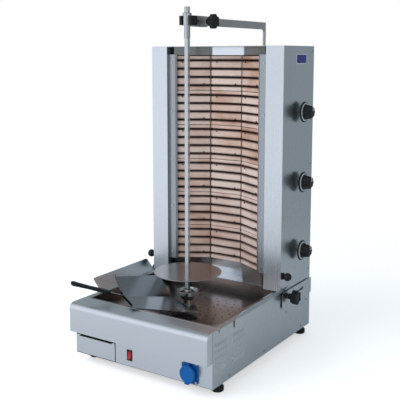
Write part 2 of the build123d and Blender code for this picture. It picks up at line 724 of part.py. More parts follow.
# ---- tower casing ----
def right_tower_panel():
    """The side panel with its front post, the post's inner return and the tab that runs inside the ear."""
    side = block(HALF - SHEET, HALF, TOWER_FRONT, TOWER_BACK, TOWER_BOTTOM, TOWER_TOP - SHEET)
    tab = block(HALF - SHEET, HALF, EAR_FRONT + 14, TOWER_BACK, TAB_BOTTOM, TOWER_BOTTOM)
    foot = block(HALF - 12, HALF, EAR_FRONT + 14, TOWER_BACK, TAB_BOTTOM, TAB_BOTTOM + SHEET)
    post = block(HALF - POST_WIDTH, HALF, TOWER_FRONT, TOWER_FRONT + SHEET, TOWER_BOTTOM, TOWER_TOP - SHEET)
    inner = HALF - POST_WIDTH
    turn = block(inner, inner + SHEET, TOWER_FRONT, TOWER_FRONT + 22, TOWER_BOTTOM, TOWER_TOP - SHEET)
    panel = side + tab + foot + post + turn
    for z in KNOB_HEIGHTS.values():
        panel -= round_x(HALF - 3, HALF + 3, KNOB_Y, z, 5)
    return panel - round_x(HALF - 3, HALF + 3, CLAMP_Y, CLAMP_Z, 4.0 + RUNNING)


def left_tower_panel():
    panel = mirrored(right_tower_panel())
    for z in KNOB_HEIGHTS.values():
        panel += round_x(-HALF, -HALF + SHEET, KNOB_Y, z, 5)
    return panel


def tower_back_panel():
    edge = HALF - SHEET - 0.1
    panel = block(-edge, edge, TOWER_BACK - SHEET, TOWER_BACK, TAB_BOTTOM + 3, TOWER_TOP - SHEET)
    for row in range(6):
        z = 780 + row * 22
        for x in (-90, 90):
            panel -= block(x - 50, x + 50, TOWER_BACK - 3, TOWER_BACK + 3, z, z + 6)
    return panel


def tower_top_panel():
    top = block(-HALF, HALF, TOWER_FRONT, TOWER_BACK, TOWER_TOP - SHEET, TOWER_TOP)
    return top


def tower_floor():
    inner = HALF - SHEET - 0.1
    floor = block(-inner, inner, TOWER_FRONT + 24, TOWER_BACK - SHEET, TOWER_BOTTOM, TOWER_BOTTOM + SHEET)
    return floor


def facet_frames(setback=0.0):
    """The three facets of the heated wall, as frames with X across, Z up and Y to the back."""
    angle = math.radians(FACET_ANGLE)
    reach = BRICK_WIDTH / 2
    frames = []
    for side in (-1, 0, 1):
        x = side * (reach + reach * math.cos(angle))
        y = FACET_FRONT - abs(side) * reach * math.sin(angle)
        frames.append(Pos(x, y, 0) * Rot(0, 0, -side * FACET_ANGLE) * Pos(0, setback, 0))
    return frames


def folded_wall(setback, thickness, z0, z1):
    """A sheet folded to follow the three facets, a little behind them."""
    angle = math.radians(FACET_ANGLE)
    outline = []
    for depth in (setback, setback + thickness):
        half = BRICK_WIDTH / 2 + depth * math.tan(angle / 2)
        run = BRICK_WIDTH + 8
        far_x = half + run * math.cos(angle)
        far_y = FACET_FRONT + depth - run * math.sin(angle)
        points = [(-far_x, far_y), (-half, FACET_FRONT + depth), (half, FACET_FRONT + depth), (far_x, far_y)]
        outline.extend(points if depth == setback else reversed(points))
    return prism_z(outline, z0, z1)


def reflector_panels():
    """The bright folded walls above and below the bricks."""
    upper = folded_wall(10, SHEET, BRICK_TOP + 1, TOWER_TOP - SHEET - 0.1)
    lower = folded_wall(10, SHEET, TOWER_BOTTOM + SHEET + 0.1, BRICK_BOTTOM - 1)
    return group(upper, lower)


def insulation_board():
    boards = []
    for frame in facet_frames(BRICK_DEPTH + 1):
        boards.append(frame * block(-BRICK_WIDTH / 2, BRICK_WIDTH / 2, 0, 14, BRICK_BOTTOM, BRICK_TOP))
    return group(*boards)


def brick_height():
    return (BRICK_TOP - BRICK_BOTTOM) / BRICK_ROWS


def heater_brick():
    """One fireclay brick with four open grooves for the heating coils; its front is at y = 0."""
    height = brick_height() - BRICK_JOINT
    half = (BRICK_WIDTH - BRICK_JOINT) / 2
    brick = block(-half, half, 0, BRICK_DEPTH, 0, height)
    for z in groove_heights():
        brick -= block(-BRICK_WIDTH, BRICK_WIDTH, -1, GROOVE_DEPTH, z - GROOVE_HEIGHT / 2, z + GROOVE_HEIGHT / 2)
    return brick


def groove_heights():
    """Groove centres above the brick's lower edge."""
    return [brick_height() - GROOVE_FIRST - step * GROOVE_PITCH for step in range(GROOVES)]


def brick_places(rows):
    for row in rows:
        for frame in facet_frames():
            yield frame * Pos(0, 0, BRICK_BOTTOM + row * brick_height())


def zone_bricks(rows):
    brick = heater_brick()
    return group(*[place * brick for place in brick_places(rows)])


def zone_coils(rows):
    """The heating coils as plain rods of the coil's outer diameter."""
    half = BRICK_WIDTH / 2 - 4
    coils = []
    for place in brick_places(rows):
        for z in groove_heights():
            coils.append(place * round_x(-half, half, COIL_SEAT, z, COIL_RADIUS))
    return group(*coils)


def coil_pins():
    """Ceramic-black pins that hold the coils in their grooves, two on each brick."""
    pins = []
    heights = groove_heights()
    spots = ((-0.3 * BRICK_WIDTH, heights[0] - 6), (0.3 * BRICK_WIDTH, heights[-1] + 6))
    for place in brick_places(range(BRICK_ROWS)):
        for x, z in spots:
            pins.append(place * round_y(x, -PIN_REACH, 0, z, PIN_RADIUS))
    return group(*pins)


def retaining_strips():
    """Folded strips that close the gap between the posts and the bricks."""
    angle = math.radians(FACET_ANGLE)
    edge_x = BRICK_WIDTH / 2 + BRICK_WIDTH * math.cos(angle)
    edge_y = FACET_FRONT - BRICK_WIDTH * math.sin(angle)
    post = HALF - POST_WIDTH - 0.1
    outline = [
        (post, edge_y - 3),
        (post, edge_y - 5),
        (edge_x - 2, edge_y - 5),
        (edge_x - 8, edge_y - 1.6),
        (edge_x - 7.2, edge_y - 0.2),
        (edge_x - 1.5, edge_y - 3),
    ]
    right = prism_z(outline, BRICK_BOTTOM - 3, BRICK_TOP + 3)
    return group(right, mirrored(right))


def strip_screws():
    edge_y = FACET_FRONT - BRICK_WIDTH * math.sin(math.radians(FACET_ANGLE)) - 5
    screws = []
    for step in range(5):
        z = BRICK_TOP - 24 - step * 163
        head = round_y(HALF - POST_WIDTH - 12, edge_y - 1.8, edge_y, z, 3.4)
        screws.append(head)
        screws.append(mirrored(head))
    return group(*screws)


# ---- tower controls and fittings ----
def heat_regulators():
    bodies = []
    for z in KNOB_HEIGHTS.values():
        body = block(HALF - 42, HALF - SHEET, KNOB_Y - 23, KNOB_Y + 23, z - 23, z + 23)
        bodies.append(body - round_x(HALF - 16, HALF, KNOB_Y, z, 3 + RUNNING))
    return group(*bodies)


def knob_spindle(z):
    spindle = round_x(HALF - 14, HALF + 34, KNOB_Y, z, 3)
    return spindle - block(HALF + 16, HALF + 36, KNOB_Y - 5, KNOB_Y + 5, z + 1.8, z + 6)


def control_knob(z):
    """A skirted knob on a spindle, with a raised grip and a pointer nib."""
    skirt = turned_x(
        [(0, 14), (33, 14), (33, 16.5), (30, 20), (25, 22), (25, 24), (23, 40), (19, 46), (0, 46)], KNOB_Y, z
    )
    skirt = Pos(HALF, 0, 0) * skirt
    for step in range(GRIP_FLUTES):
        angle = 2 * math.pi * step / GRIP_FLUTES
        y = KNOB_Y + 27 * math.cos(angle)
        flute_z = z + 27 * math.sin(angle)
        skirt -= round_x(HALF + 25, HALF + 60, y, flute_z, 5.2)
    nib = block(HALF + 46, HALF + 48.5, KNOB_Y - 2, KNOB_Y + 2, z + 4, z + 18)
    bore = round_x(HALF + 12, HALF + 34, KNOB_Y, z, 3)
    bore -= block(HALF + 16, HALF + 36, KNOB_Y - 5, KNOB_Y + 5, z + 1.8, z + 6)
    return skirt + nib - bore


def pull_knobs():
    """Ball knobs at the foot of each post, for sliding the tower."""
    outline = [(0, 0), (11, 0), (11, 4), (5, 7)]
    ball = CenterArc((0, 18.5), 13, -62, 152)
    start, end = ball @ 0, ball @ 1
    walls = Polyline((end.X, end.Y), (0, 31.5), *outline, (start.X, start.Y))
    solid = revolve(Plane.XZ * make_face(ball + walls), Axis.Z)
    right = Pos(HALF, TOWER_FRONT + 12, 220.6) * Rot(0, 90, 0) * solid
    return group(right, mirrored(right))


def name_plate():
    plate = block(HALF, HALF + 1.2, 490, 564, 890, 922)
    return fillet(plate.edges().filter_by(Axis.X), 3)


def tower_screws():
    screws = []
    for side in (-1, 1):
        x0, x1 = sorted((side * HALF, side * (HALF + 1.6)))
        for z in (200, 560, 930):
            screws.append(round_x(x0, x1, TOWER_BACK - 10, z, 3.2))
    for x in (-200, 200):
        for z in (200, 560, 930):
            screws.append(round_y(x, TOWER_BACK, TOWER_BACK + 1.6, z, 3.2))
    return group(*screws)


# ---- loose scoop ----
def scoop_frame():
    """The scoop lies across the front rim with its nose on the tray."""
    return Pos(*SCOOP_PLACE) * Rot(Z=SCOOP_TURN[2]) * Rot(Y=SCOOP_TURN[1]) * Rot(X=SCOOP_TURN[0])


def scoop_blade():
    """A sheet folded along its middle into a shallow V, with a low wall at the back."""
    halves = []
    for side in (-1, 1):
        tip, width = SCOOP_TIPS[side]
        flat = make_face(Polyline((0, 0), (SCOOP_LENGTH, 0), (tip, side * width), (0, side * SCOOP_BACK), close=True))
        halves.append(Rot(X=side * SCOOP_FOLD) * extrude(flat, amount=SHEET))
        wall = block(0, SHEET, min(0, side * SCOOP_BACK), max(0, side * SCOOP_BACK), 0, SCOOP_WALL)
        halves.append(Rot(X=side * SCOOP_FOLD) * wall)
    blade = halves[0]
    for piece in halves[1:]:
        blade += piece
    tang = Rot(Y=SCOOP_HANDLE_RISE) * Pos(0, 0, SCOOP_WALL * 0.4) * block(-70, 0.8, -4.5, 4.5, -1.5, 1.5)
    return scoop_frame() * (blade + tang)


def scoop_handle_frame():
    return scoop_frame() * Rot(Y=SCOOP_HANDLE_RISE) * Pos(0, 0, SCOOP_WALL * 0.4)


def scoop_grip():
    """The black grip round the tang, thicker towards its end, with a hanging hole."""
    end = -SCOOP_HANDLE
    outline = [(end, -6), (end + 8, -10), (-150, -8), (-110, -6), (-60, -8.5), (-44, -6)]
    outline += [(-44, 6), (-60, 8.5), (-110, 6), (-150, 8), (end + 8, 10), (end, 6)]
    grip = extrude(make_face(Polyline(*outline, close=True)), amount=10)
    grip = Pos(0, 0, -5) * grip
    grip = fillet(grip.edges().group_by(Axis.Z)[-1] + grip.edges().group_by(Axis.Z)[0], 2.4)
    grip -= round_z(end + 12, 0, -10, 10, 3.2)
    grip -= block(-70, -40, -4.5, 4.5, -1.5, 1.5)
    return scoop_handle_frame() * grip


# ---- write every node ----
ZONES = {"lower": range(0, 2), "middle": range(2, 4), "upper": range(4, 6)}


def base_nodes():
    right = right_side_panel()
    return {
        "right_side_panel": right,
        "left_side_panel": mirrored(right),
        "front_fascia": front_fascia(),
        "front_lower_panel": front_lower_panel(),
        "base_floor": base_floor(),
        "rear_base_panel": rear_base_panel(),
        "tray_surround": group(tray_surround(), rear_shelf()),
        "drip_tray": drip_tray(),
        "base_rails": group(drawer_guides(), tower_rails()),
        "rubber_feet": rubber_feet(),
        "base_fasteners": group(foot_screws(), base_screws(), tray_screws(), bracket_bolts()),
        "switch_bezel": rocker_bezel(),
        "socket_body": socket_body(),
        "socket_contacts": socket_pins(),
        "socket_fasteners": group(socket_screws(), lid_pin()),
        "cable_gland": group(cable_gland(), gland_nut()),
        "terminal_block": terminal_block(),
        "motor_bracket": motor_bracket(),
        "gearbox": gearbox(),
        "hub_bush": hub_bush(),
        "gear_motor": gear_motor(),
        "support_arm": support_arm(),
        "arm_bracket": arm_bracket(),
    }


def moving_nodes():
    nodes = {
        "grease_drawer": grease_drawer(),
        "switch_rocker": switch_rocker(),
        "socket_lid": socket_lid(),
        "drive_hub": drive_hub(),
        "skewer_rod": skewer_rod(),
        "skewer_collar": skewer_collar(),
        "meat_plate": group(meat_plate(), plate_screw()),
        "bearing_block": bearing_block(),
        "arm_carriage": arm_carriage(),
        "carriage_bolts": carriage_bolts(),
        "arm_clamp_knob": arm_knob(),
        "right_clamp_knob": clamp_knob(1),
        "left_clamp_knob": clamp_knob(-1),
        "scoop_blade": scoop_blade(),
        "scoop_grip": scoop_grip(),
    }
    for name, z in KNOB_HEIGHTS.items():
        nodes[f"control_knob_{name}"] = group(control_knob(z), knob_spindle(z))
    return nodes


def tower_nodes():
    nodes = {
        "right_tower_panel": right_tower_panel(),
        "left_tower_panel": left_tower_panel(),
        "tower_back_panel": tower_back_panel(),
        "tower_top_panel": tower_top_panel(),
        "tower_floor": tower_floor(),
        "reflector_panels": reflector_panels(),
        "insulation_board": insulation_board(),
        "coil_pins": coil_pins(),
        "retaining_strips": retaining_strips(),
        "heat_regulators": heat_regulators(),
        "pull_knobs": pull_knobs(),
        "name_plate": name_plate(),
        "tower_fasteners": group(tower_screws(), strip_screws()),
    }
    for name, rows in ZONES.items():
        nodes[f"heater_bricks_{name}"] = zone_bricks(rows)
        nodes[f"heating_coils_{name}"] = zone_coils(rows)
    return nodes


def main():
    os.makedirs("parts", exist_ok=True)
    for nodes in (base_nodes(), moving_nodes(), tower_nodes()):
        for name, shape in nodes.items():
            placed = Compound([PLACE * solid for solid in shape.solids()])
            export_step(placed, f"parts/{name}.step")


main()
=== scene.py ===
# %% [markdown]
# # A vertical broiler, finished in Blender
# The machine's steel, bricks and moving parts come from the packed frame. Here every surface gets its
# material, and the parts that need finer shapes (knobs, socket lid, coils, badge) are modelled again.
# The frame's own axes are kept: +Z up, -Y towards the cook, +X towards the control knobs. Lengths are in
# metres, except in the two turned profiles.

# %% Load the frame, with a helper that reads a part's size
import math

import bmesh
import bpy
from mathutils import Matrix, Vector


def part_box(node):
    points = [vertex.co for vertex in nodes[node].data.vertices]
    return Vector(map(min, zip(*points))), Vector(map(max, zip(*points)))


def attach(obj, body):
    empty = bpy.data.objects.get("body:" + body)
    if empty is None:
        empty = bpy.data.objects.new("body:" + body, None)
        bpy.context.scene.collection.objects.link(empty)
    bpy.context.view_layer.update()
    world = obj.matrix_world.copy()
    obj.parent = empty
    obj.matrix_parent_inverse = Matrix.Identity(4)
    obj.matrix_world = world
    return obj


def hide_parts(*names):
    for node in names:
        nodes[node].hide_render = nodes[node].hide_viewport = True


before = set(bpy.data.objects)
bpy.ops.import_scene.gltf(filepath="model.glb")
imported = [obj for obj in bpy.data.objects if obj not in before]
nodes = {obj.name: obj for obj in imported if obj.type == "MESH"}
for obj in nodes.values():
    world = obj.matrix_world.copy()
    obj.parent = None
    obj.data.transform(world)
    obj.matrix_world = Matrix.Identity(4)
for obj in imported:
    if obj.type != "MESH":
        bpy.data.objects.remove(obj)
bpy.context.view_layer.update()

# %% [markdown]
# ## Camera
# The camera stands about 2.4 m away, a little below the machine's top, with a longish lens. It looks
# slightly down, and a small vertical shift takes up the rest of the framing, so that the uprights stay
# nearly parallel.

# %% Camera at the front right
EYE = Vector((1.286, -1.9976, 0.9436))
TURN = math.radians(33.13)
PITCH = math.radians(7.94)
LENS = 67.0
SENSOR = 36.0
SHIFT_DOWN = 0.10


def aim_camera():
    data = bpy.data.cameras.new("product_camera")
    data.lens = LENS
    data.sensor_width = SENSOR
    data.shift_y = -SHIFT_DOWN
    camera = bpy.data.objects.new("product_camera", data)
    camera.location = EYE
    camera.rotation_euler = (math.pi / 2 - PITCH, 0, TURN)
    bpy.context.scene.collection.objects.link(camera)
    bpy.context.scene.camera = camera
    return camera


camera = aim_camera()
print("camera at", tuple(round(v, 3) for v in camera.location))

# %% [markdown]
# ## Light
# Steel has hardly any colour of its own: it shows what stands round it. So the surroundings are bright
# only towards the front left and dull everywhere else, with a soft edge between. That is what makes the
# front panels read as near white and the control side as mid grey. The camera itself sees plain white
# behind the machine instead of this sky.

# %% Surroundings that the steel reflects
SKY_BRIGHT = (0.90, 0.95, 1.03, 1.0)
SKY_DULL = (0.285, 0.33, 0.355, 1.0)
BRIGHT_SIDE = (-0.60, -0.80, 0.05)
DULL_UP_TO = 0.70
BRIGHT_FROM = 0.93
SKY_STRENGTH = 1.0
BACKGROUND = (1.0, 1.0, 1.0, 1.0)


def make_sky():
    world = bpy.data.worlds.new("studio")
    bpy.context.scene.world = world
    world.use_nodes = True
    tree = world.node_tree
    tree.nodes.clear()
    place = tree.nodes.new("ShaderNodeTexCoord")
    along = tree.nodes.new("ShaderNodeVectorMath")
    along.operation = "DOT_PRODUCT"
    along.inputs[1].default_value = BRIGHT_SIDE
    ramp = tree.nodes.new("ShaderNodeValToRGB")
    ramp.color_ramp.elements[0].position = DULL_UP_TO
    ramp.color_ramp.elements[0].color = SKY_DULL
    ramp.color_ramp.elements[1].position = BRIGHT_FROM
    ramp.color_ramp.elements[1].color = SKY_BRIGHT
    spread = tree.nodes.new("ShaderNodeMath")
    spread.operation = "MULTIPLY_ADD"
    spread.inputs[1].default_value = 0.5
    spread.inputs[2].default_value = 0.5
    glow = tree.nodes.new("ShaderNodeBackground")
    glow.inputs["Strength"].default_value = SKY_STRENGTH
    plain = tree.nodes.new("ShaderNodeBackground")
    plain.inputs["Color"].default_value = BACKGROUND
    rays = tree.nodes.new("ShaderNodeLightPath")
    mix = tree.nodes.new("ShaderNodeMixShader")
    out = tree.nodes.new("ShaderNodeOutputWorld")
    link = tree.links.new
    link(place.outputs["Generated"], along.inputs[0])
    link(along.outputs["Value"], spread.inputs[0])
    link(spread.outputs[0], ramp.inputs[0])
    link(ramp.outputs["Color"], glow.inputs["Color"])
    link(rays.outputs["Is Camera Ray"], mix.inputs[0])
    link(glow.outputs[0], mix.inputs[1])
    link(plain.outputs[0], mix.inputs[2])
    link(mix.outputs[0], out.inputs["Surface"])


make_sky()
print("sky is dull up to", DULL_UP_TO, "and bright from", BRIGHT_FROM)

# %% [markdown]
# Two large soft lamps add the modelling. The key lamp is hidden from reflections, so it lights the
# machine without standing as a bright square in the steel.

# %% Two soft lamps
LAMP_TARGET = (0, 0, 0.5)


def soft_lamp(name, place, size, power, mirrored=True):
    data = bpy.data.lights.new(name, "AREA")
    data.shape = "SQUARE"
    data.size = size
    data.energy = power
    lamp = bpy.data.objects.new(name, data)
    lamp.location = place
    lamp.rotation_euler = (Vector(LAMP_TARGET) - Vector(place)).to_track_quat("-Z", "Y").to_euler()
    lamp.visible_glossy = mirrored
    bpy.context.scene.collection.objects.link(lamp)


soft_lamp("key_lamp", (-1.9, -2.9, 2.8), size=3.0, power=60, mirrored=False)
soft_lamp("fill_lamp", (2.4, -1.6, 1.8), size=1.4, power=6)
bpy.context.scene.view_settings.view_transform = "Standard"
print("lamps aim at", LAMP_TARGET)

# %% [markdown]
# ## Writing shader maths as Python
# A material is a graph of nodes. Wiring it by hand is long, so `Wire` wraps one output socket and lets
# plain `+ - * %` and `abs` make the Math nodes, and `Finish.add` makes any other node in one call.

# %% A wire that does maths
class Wire:
    """One number or colour that flows out of a node."""

    def __init__(self, finish, socket):
        self.finish = finish
        self.socket = socket

    def maths(self, operation, first, second):
        return self.finish.add("ShaderNodeMath", {0: first, 1: second}, operation=operation)

    def __add__(self, other):
        return self.maths("ADD", self, other)

    def __sub__(self, other):
        return self.maths("SUBTRACT", self, other)

    def __mul__(self, other):
        return self.maths("MULTIPLY", self, other)

    def __mod__(self, other):
        return self.maths("FLOORED_MODULO", self, other)

    def __abs__(self):
        return self.maths("ABSOLUTE", self, 0.0)

    __radd__ = __add__


print("a wire takes + - * % and abs")


# %% A finish under construction
class Finish:
    """A material under construction, with its main shader ready."""

    def __init__(self, name, **shader):
        self.material = bpy.data.materials.new(name)
        self.material.use_nodes = True
        self.tree = self.material.node_tree
        self.shader = self.tree.nodes["Principled BSDF"]
        self.feed(self.shader, {key.replace("_", " "): value for key, value in shader.items()})

    def feed(self, node, values):
        for key, value in values.items():
            if isinstance(value, Wire):
                self.tree.links.new(value.socket, node.inputs[key])
            else:
                node.inputs[key].default_value = value

    def add(self, kind, values=None, out=0, stops=None, **settings):
        node = self.tree.nodes.new(kind)
        for key, value in settings.items():
            setattr(node, key, value)
        for index, (position, colour) in enumerate(stops or ()):
            ramp = node.color_ramp.elements
            stop = ramp[index] if index < 2 else ramp.new(position)
            stop.position = position
            stop.color = (*colour, 1)
        self.feed(node, values or {})
        return Wire(self, node.outputs[out])

    def place(self, stretch=(1, 1, 1), shift=(0, 0, 0)):
        """The surface point in object coordinates, stretched for grain."""
        point = self.add("ShaderNodeTexCoord", out="Object")
        return self.add("ShaderNodeMapping", {"Vector": point, "Scale": stretch, "Location": shift})

    def along(self, axis):
        """The surface point's distance along one axis."""
        point = self.add("ShaderNodeTexCoord", out="Object")
        return self.add("ShaderNodeSeparateXYZ", {"Vector": point}, out=axis)

    def fade(self, value, start, end):
        """One at the start value, falling to nothing at the end value."""
        ends = {"Value": value, "From Min": start, "From Max": end, "To Min": 1.0, "To Max": 0.0}
        return self.add("ShaderNodeMapRange", ends)

    def cloud(self, scale, stretch=(1, 1, 1), detail=4.0):
        values = {"Vector": self.place(stretch), "Scale": scale, "Detail": detail}
        return self.add("ShaderNodeTexNoise", values)

    def blend(self, factor, first, second):
        values = {"Factor": factor, 6: first, 7: second}
        return self.add("ShaderNodeMix", values, out=2, data_type="RGBA")

    def relief(self, height, strength, distance):
        values = {"Height": height, "Strength": strength, "Distance": distance}
        return self.add("ShaderNodeBump", values)

    def use(self, **values):
        self.feed(self.shader, {key.replace("_", " "): value for key, value in values.items()})
        return self.material


print("a finish can", ", ".join(name for name in vars(Finish) if not name.startswith("_")))

# %% [markdown]
# ## Brushed and polished steel
# Sheet steel is drawn through rollers and brushes, so its fine scratches all run one way. Noise that is
# squeezed hard across the brushing and stretched along it gives that grain. It changes the roughness a
# little and the surface normal very little; a second, slow noise is the handling smears. The reflector's
# two side facets get a darker tint by position: it is a painted reflection of darker surroundings, not
# the metal's own colour.

# %% Brushed steel
CENTRE_FACET = 0.059
FACET_EDGE = 0.002
# Colour of the painted reflection on the reflector's two side facets.
SIDE_PAINTED_REFLECTION = (0.40, 0.385, 0.375, 1)
SMUDGE_SCALE = 7.0
SMUDGE_ROUGHENS = 1.2
DULLED = 0.90
SCRATCH_SHARE = 0.5
SMUDGE_SHARE = 0.4
SCRATCH_HEIGHT = 0.0004


def steel(name, colour, rough, grain, smear=0.06, bump=0.05, dark_sides=False):
    finish = Finish(name, Metallic=1.0)
    scratch = finish.cloud(1.0, grain, 3.0)
    smudge = finish.cloud(SMUDGE_SCALE, detail=3.0)
    dull = tuple(c * DULLED for c in colour)
    wear = scratch * SCRATCH_SHARE + smudge * SMUDGE_SHARE
    tint = finish.blend(wear, (*dull, 1), (*colour, 1))
    # The reflector's side facets get a painted reflection of darker surroundings.
    if dark_sides:
        centre = finish.fade(abs(finish.along("X")), CENTRE_FACET, CENTRE_FACET + FACET_EDGE)
        tint = finish.blend(centre, SIDE_PAINTED_REFLECTION, tint)
    uneven = rough - smear + scratch * smear + smudge * (smear * SMUDGE_ROUGHENS)
    normal = finish.relief(scratch, bump, SCRATCH_HEIGHT)
    return finish.use(Base_Color=tint, Roughness=uneven, Normal=normal)


# %% Steel finishes
ALONG_X = (6, 900, 900)
ALONG_Z = (700, 700, 5)
ALONG_Y = (900, 6, 900)
front_steel = steel("front_steel", (0.78, 0.81, 0.85), 0.36, ALONG_X)
side_steel = steel("side_steel", (0.70, 0.74, 0.77), 0.27, ALONG_Z)
top_steel = steel("top_steel", (0.66, 0.68, 0.68), 0.36, ALONG_X)
tray_steel = steel("tray_steel", (0.42, 0.365, 0.35), 0.22, ALONG_Y, bump=0.04)
mirror_steel = steel(
    "mirror_steel", (0.80, 0.82, 0.86), 0.14, ALONG_X, smear=0.05, bump=0.02, dark_sides=True
)
plate_steel = steel("plate_steel", (0.50, 0.475, 0.475), 0.24, ALONG_X, smear=0.05, bump=0.03)
scoop_steel = steel("scoop_steel", (0.27, 0.30, 0.325), 0.17, ALONG_Y, bump=0.03)
chrome_steel = steel("chrome_steel", (0.60, 0.62, 0.63), 0.16, ALONG_Z, smear=0.03, bump=0.01)
screw_steel = steel("screw_steel", (0.55, 0.55, 0.55), 0.30, ALONG_Z)
inner_steel = steel("inner_steel", (0.16, 0.16, 0.17), 0.45, ALONG_X)
wall_steel = steel("wall_steel", (0.40, 0.42, 0.44), 0.28, ALONG_Z)
print("brushed along X", ALONG_X, "along Y", ALONG_Y, "along Z", ALONG_Z)

# %% [markdown]
# ## Fired clay
# The bricks are matt and pale, and each came out of the kiln a little different, so white noise on the
# brick's row and column shifts its colour. Each groove is painted dark as shade, and a scorch mark fades
# out on the clay beside it. The grooves repeat at a fixed pitch up each brick, so the remainder of the
# height gives the distance to the nearest.
# The two upright joints between the columns are dark, with painted shade fading onto the brick faces
# beside them.

# %% Where the bricks and their grooves are
BRICK_WIDTH = 0.120
BRICK_ROWS = 6
GROOVES = 4
GROOVE_PITCH = 0.0279
GROOVE_FIRST = 0.0161
BRICK_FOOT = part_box("heater_bricks_lower")[0][2]
BRICK_TOP = 0.946
BRICK_HEIGHT = (BRICK_TOP - BRICK_FOOT) / BRICK_ROWS
LOWEST_GROOVE = BRICK_HEIGHT - GROOVE_FIRST - (GROOVES - 1) * GROOVE_PITCH
print("brick height", round(BRICK_HEIGHT, 4))

# %% Clay with painted shade in its grooves and a scorch mark beside them
GROOVE_HALF = 0.0038
# Painted shade fills each groove; a scorch mark fades out on the clay beside it.
SHADE_SCORCH_REACH = 0.0040
SHADE_SCORCH_WANDER = 0.004
SHADE_SCORCH_DEPTH = 0.6
SHADE_SCORCH_COLOUR = (0.115, 0.055, 0.035, 1)
# Dark joints, with painted shade fading onto the brick faces beside them.
SEAM_DARK = 0.0012
SEAM_SHADE_REACH = 0.0042
SEAM_SHADE_DEPTH = 0.85
SEAM_SHADE_COLOUR = (0.16, 0.085, 0.055, 1)
GRIT_SCALE = 380.0
GRIT_DEPTH = 0.35
GRIT_COLOUR = (0.50, 0.33, 0.26, 1)
PATCH_SCALE = 13.0
PATCH_STRETCH = (1, 1, 1.4)
PATCH_SHARE = 0.7
BATCH_SHARE = 0.3
PATCH_HEIGHT = 0.5
CLAY_BUMP = 0.35
CLAY_HEIGHT = 0.0006
CLAY_TONES = [(0.28, (0.58, 0.34, 0.25)), (0.46, (0.78, 0.56, 0.47)), (0.64, (0.90, 0.74, 0.66))]


def clay():
    finish = Finish("fired_clay", Roughness=0.93)
    patches = finish.cloud(PATCH_SCALE, PATCH_STRETCH, 6.0)
    grit = finish.cloud(GRIT_SCALE, detail=3.0)
    cells = finish.place((1 / BRICK_WIDTH, 0, 1 / BRICK_HEIGHT), (0.5, 0, -BRICK_FOOT / BRICK_HEIGHT))
    cell = finish.add("ShaderNodeVectorMath", {0: cells}, operation="FLOOR")
    batch = finish.add("ShaderNodeTexWhiteNoise", {"Vector": cell})
    tone = patches * PATCH_SHARE + batch * BATCH_SHARE
    body = finish.add("ShaderNodeValToRGB", {"Fac": tone}, stops=CLAY_TONES)
    height = (finish.along("Z") - BRICK_FOOT) % BRICK_HEIGHT
    within = (height - (LOWEST_GROOVE - GROOVE_PITCH / 2)) % GROOVE_PITCH
    distance = abs(within - GROOVE_PITCH / 2) + (patches - 0.5) * SHADE_SCORCH_WANDER
    # Painted shade in the groove, with a scorch mark fading out beside it.
    groove_shade_scorch = finish.fade(distance, GROOVE_HALF, GROOVE_HALF + SHADE_SCORCH_REACH)
    speckle = finish.blend(grit * GRIT_DEPTH, body, GRIT_COLOUR)
    # Dark joint with painted shade fading beside it, in the fold where the facets meet.
    seam_shade = finish.fade(abs(abs(finish.along("X")) - BRICK_WIDTH / 2), SEAM_DARK, SEAM_SHADE_REACH)
    seam_shaded = finish.blend(seam_shade * SEAM_SHADE_DEPTH, speckle, SEAM_SHADE_COLOUR)
    shaded_and_scorched = finish.blend(groove_shade_scorch * SHADE_SCORCH_DEPTH, seam_shaded, SHADE_SCORCH_COLOUR)
    normal = finish.relief(grit + patches * PATCH_HEIGHT, CLAY_BUMP, CLAY_HEIGHT)
    return finish.use(Base_Color=shaded_and_scorched, Normal=normal)


fired_clay = clay()
print("clay nodes", len(fired_clay.node_tree.nodes))

# %% [markdown]
# ## Plastics, enamel and painted parts
# Moulded plastic is never one flat black: a slow noise shifts its colour and a fine one gives the grain.
# The same helper serves the rubber, wire, enamels, paint, bronze and grey steel. The fibre board gets a
# coarser grain.

# %% Plastics, wire and paints
SLOW_SCALE = 14.0
LIGHTER = 1.35
LIFTED = 0.004
GRAIN_HEIGHT = 0.0003
GRAIN_ROUGHENS = 0.12


def mottled(name, colour, rough, grain=260.0, bump=0.12, **shader):
    finish = Finish(name, **shader)
    fine = finish.cloud(grain, detail=2.0)
    slow = finish.cloud(SLOW_SCALE, detail=2.0)
    light = tuple(min(1.0, c * LIGHTER + LIFTED) for c in colour)
    tint = finish.blend(slow, (*colour, 1), (*light, 1))
    normal = finish.relief(fine, bump, GRAIN_HEIGHT)
    return finish.use(Base_Color=tint, Roughness=rough + fine * GRAIN_ROUGHENS, Normal=normal)


heating_wire = mottled("heating_wire", (0.050, 0.026, 0.018), 0.55, Metallic=0.5)
black_plastic = mottled("black_plastic", (0.009, 0.009, 0.010), 0.40, Specular_IOR_Level=0.35)
knob_plastic = mottled("knob_plastic", (0.008, 0.008, 0.009), 0.34, bump=0.08, Specular_IOR_Level=0.35)
black_rubber = mottled("black_rubber", (0.010, 0.010, 0.010), 0.66)
blue_plastic = mottled("blue_plastic", (0.001, 0.105, 0.36), 0.42, bump=0.04, Specular_IOR_Level=0.25)
red_plastic = mottled("red_plastic", (0.45, 0.010, 0.018), 0.20, bump=0.02)
grey_steel = mottled("grey_steel", (0.47, 0.455, 0.44), 0.42, Metallic=0.9)
navy_enamel = mottled("navy_enamel", (0.020, 0.022, 0.24), 0.25, bump=0.02)
pale_enamel = mottled("pale_enamel", (0.70, 0.72, 0.78), 0.35, bump=0.02)
white_print = mottled("white_print", (0.66, 0.67, 0.68), 0.45, bump=0.02)
bronze = mottled("bronze", (0.50, 0.33, 0.15), 0.32, Metallic=1.0)
motor_paint = mottled("motor_paint", (0.045, 0.050, 0.055), 0.48)
